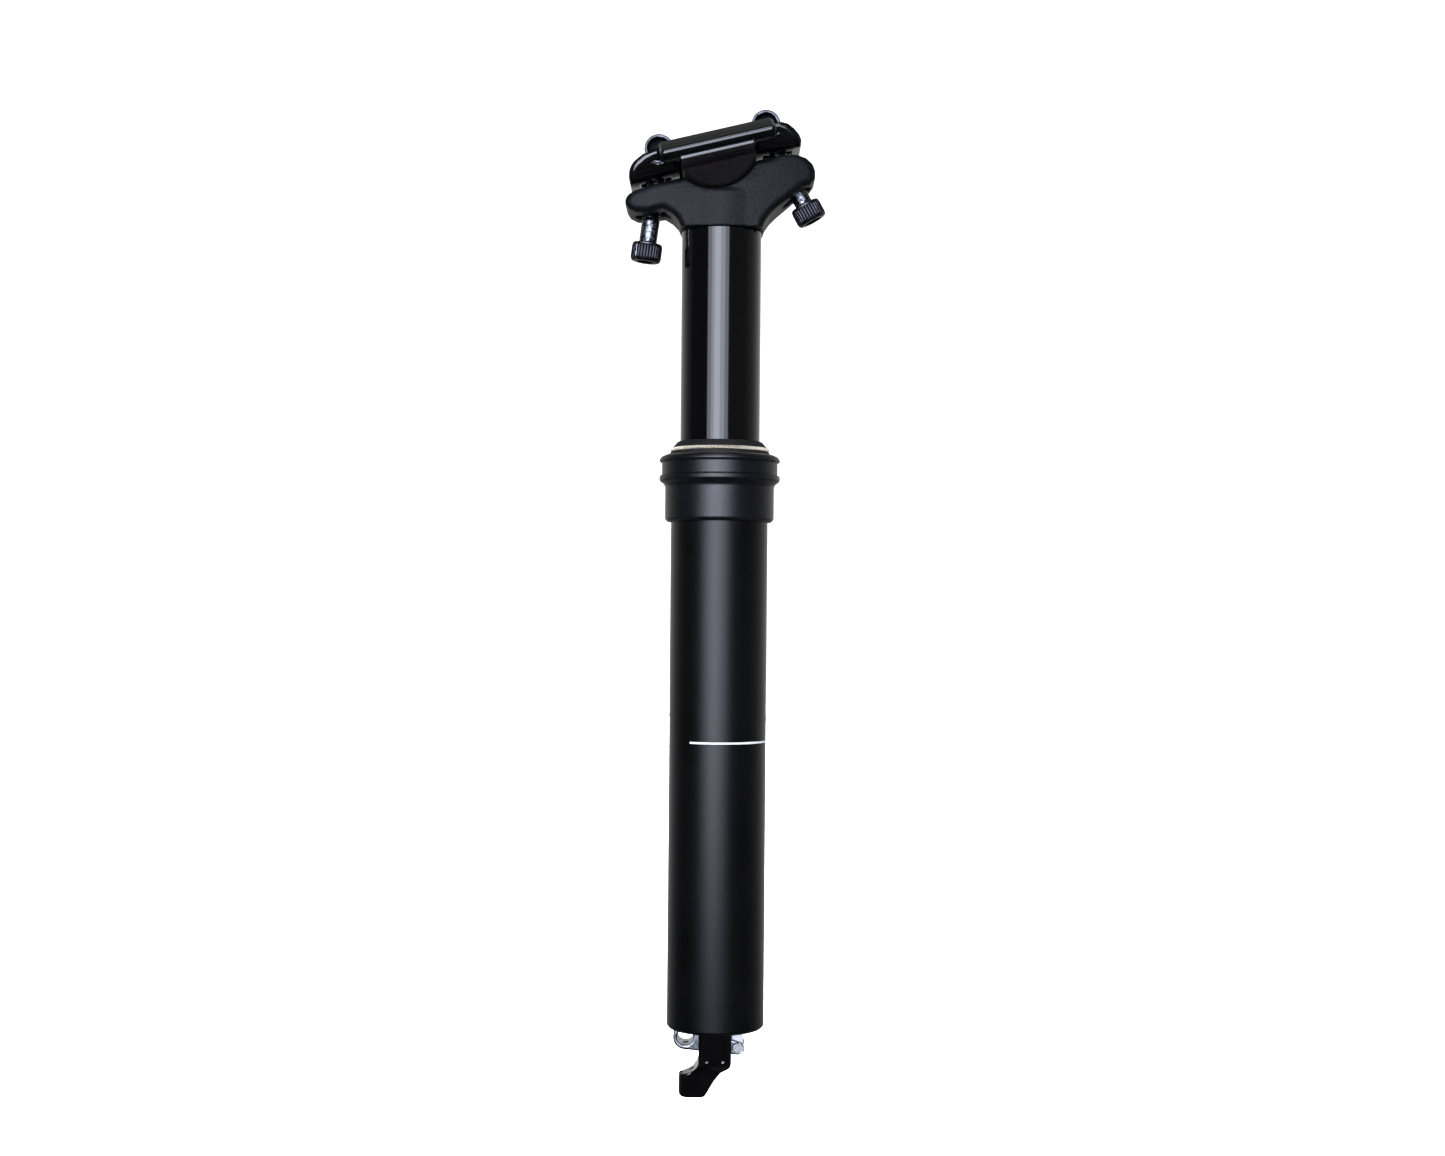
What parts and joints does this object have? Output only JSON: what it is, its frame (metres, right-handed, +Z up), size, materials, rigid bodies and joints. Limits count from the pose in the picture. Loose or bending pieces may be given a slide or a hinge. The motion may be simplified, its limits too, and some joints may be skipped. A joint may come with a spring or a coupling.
{
  "type": "dropper seatpost",
  "caption": "Cable-operated height-adjustable bicycle seatpost: clamped tube, sliding stanchion in a collar, tilting saddle clamp with splayed bolts, release lever at the foot.",
  "frame": {"origin": "on the post's axis, on the collar shoulder that rests on the frame's seat tube", "axes": "+Z up the post towards the saddle, +X to the rear of the bicycle, +Y to its left side"},
  "size_m": [0.0655, 0.053, 0.3194],
  "materials": {
    "satin_black_anodised": "satin black anodised aluminium tube",
    "matte_black_anodised": "bead-blasted, matte black anodised",
    "gloss_black_hard_coat": "polished, gloss black hard-anodised",
    "gloss_black_anodised": "polished, black anodised",
    "matte_grey_cradle": "matte dark grey anodised",
    "machined_aluminium": "fine turned",
    "satin_aluminium_lever": "satin silver",
    "black_rubber": "moulded nitrile rubber",
    "bushing_polymer": "filled bearing polymer",
    "black_plastic": "moulded",
    "garter_spring_wire": "brass-plated spring wire",
    "brass_keys": "machined brass",
    "bearing_steel": "ground bearing steel",
    "stainless_steel": "plain stainless steel",
    "black_oxide_steel": "worn dark oxide on steel",
    "bright_nut_steel": "bright turned steel",
    "hard_chrome": "ground and hard-chromed"
  },
  "bodies": {
    "outer": {"outer_tube": "satin_black_anodised", "collar": "matte_black_anodised", "collar_oring": "black_rubber", "dust_wiper": "black_rubber", "wiper_garter_spring": "garter_spring_wire", "roller_bearing_cup": "bearing_steel", "needle_rollers": "bearing_steel", "upper_bushing": "bushing_polymer", "top_out_bumper": "black_rubber", "bottom_cap": "machined_aluminium", "bottom_cap_oring": "black_rubber", "bottom_out_bumper": "black_rubber", "piston_rod": "hard_chrome", "rod_nut": "black_oxide_steel", "main_piston": "machined_aluminium", "piston_seal": "bushing_polymer", "cable_bracket": "gloss_black_anodised", "bracket_screws": "black_oxide_steel", "lever_pin": "stainless_steel", "lever_pin_clip": "stainless_steel"},
    "post": {"stanchion": "gloss_black_hard_coat", "head": "matte_black_anodised", "lower_bushing": "bushing_polymer", "guide_keys": "brass_keys", "damper_cylinder": "machined_aluminium", "cartridge_ring": "stainless_steel", "seal_head": "machined_aluminium", "rod_seal": "black_rubber", "cylinder_cap": "machined_aluminium", "cylinder_cap_oring": "black_rubber", "air_valve_body": "brass_keys", "valve_core": "brass_keys", "air_valve_cap": "black_plastic"},
    "floating_piston": {"floating_piston": "machined_aluminium", "floating_piston_oring": "black_rubber"},
    "valve": {"valve_rod": "hard_chrome", "valve_poppet": "stainless_steel", "valve_rod_nut": "stainless_steel", "valve_spring": "stainless_steel"},
    "lever": {"release_lever": "satin_aluminium_lever"},
    "cradle": {"lower_clamp": "matte_grey_cradle"},
    "upper_clamp": {"upper_clamp": "gloss_black_anodised"},
    "front_nut": {"front_barrel_nut": "bright_nut_steel"},
    "rear_nut": {"rear_barrel_nut": "bright_nut_steel"},
    "front_bolt": {"front_bolt": "black_oxide_steel"},
    "rear_bolt": {"rear_bolt": "black_oxide_steel"}
  },
  "joints": [
    {"name": "post_slide", "type": "slide", "parent": "outer", "child": "post", "axis": [0, 0, 1], "range_m": [-0.065, 0.032]},
    {"name": "floating_piston_slide", "type": "slide", "parent": "post", "child": "floating_piston", "axis": [0, 0, 1], "range_m": [-0.0095, 0.0195]},
    {"name": "clamp_tilt", "type": "hinge", "parent": "post", "child": "cradle", "pos_m": [-0.0028, 0, 0.1224], "axis": [0, 1, 0], "range_deg": [-4.5, 4.5]},
    {"name": "clamp_open", "type": "slide", "parent": "cradle", "child": "upper_clamp", "axis": [-0.23, 0, 0.9732], "range_m": [0, 0.0028]},
    {"name": "front_nut_swing", "type": "hinge", "parent": "upper_clamp", "child": "front_nut", "pos_m": [-0.02044, 0, 0.12008], "axis": [0, 1, 0], "range_deg": [-6, 6]},
    {"name": "rear_nut_swing", "type": "hinge", "parent": "upper_clamp", "child": "rear_nut", "pos_m": [0.01401, 0, 0.12822], "axis": [0, 1, 0], "range_deg": [-5.6, 5.6]},
    {"name": "front_bolt_screw", "type": "slide", "parent": "front_nut", "child": "front_bolt", "axis": [0.1305, 0, 0.9914], "range_m": [-0.004, 0.003]},
    {"name": "rear_bolt_screw", "type": "slide", "parent": "rear_nut", "child": "rear_bolt", "axis": [-0.4772, 0, 0.8788], "range_m": [-0.005, 0.0005]},
    {"name": "release_lever", "type": "hinge", "parent": "outer", "child": "lever", "pos_m": [0.0075, 0, -0.1703], "axis": [0, -1, 0], "range_deg": [0, 12.1]},
    {"name": "valve_slide", "type": "slide", "parent": "outer", "child": "valve", "axis": [0, 0, 1], "range_m": [-0.00178, 0], "stiffness_N_per_m": 60, "deforming": ["valve_spring"]}
  ],
  "couplings": [
    {"joint": "floating_piston_slide", "follows": "post_slide", "ratio": -0.277},
    {"joint": "front_nut_swing", "follows": "clamp_tilt", "ratio": -1.22},
    {"joint": "rear_nut_swing", "follows": "clamp_tilt", "ratio": -1.14},
    {"joint": "release_lever", "follows": "valve_slide", "rad_per_m": -117.6}
  ]
}
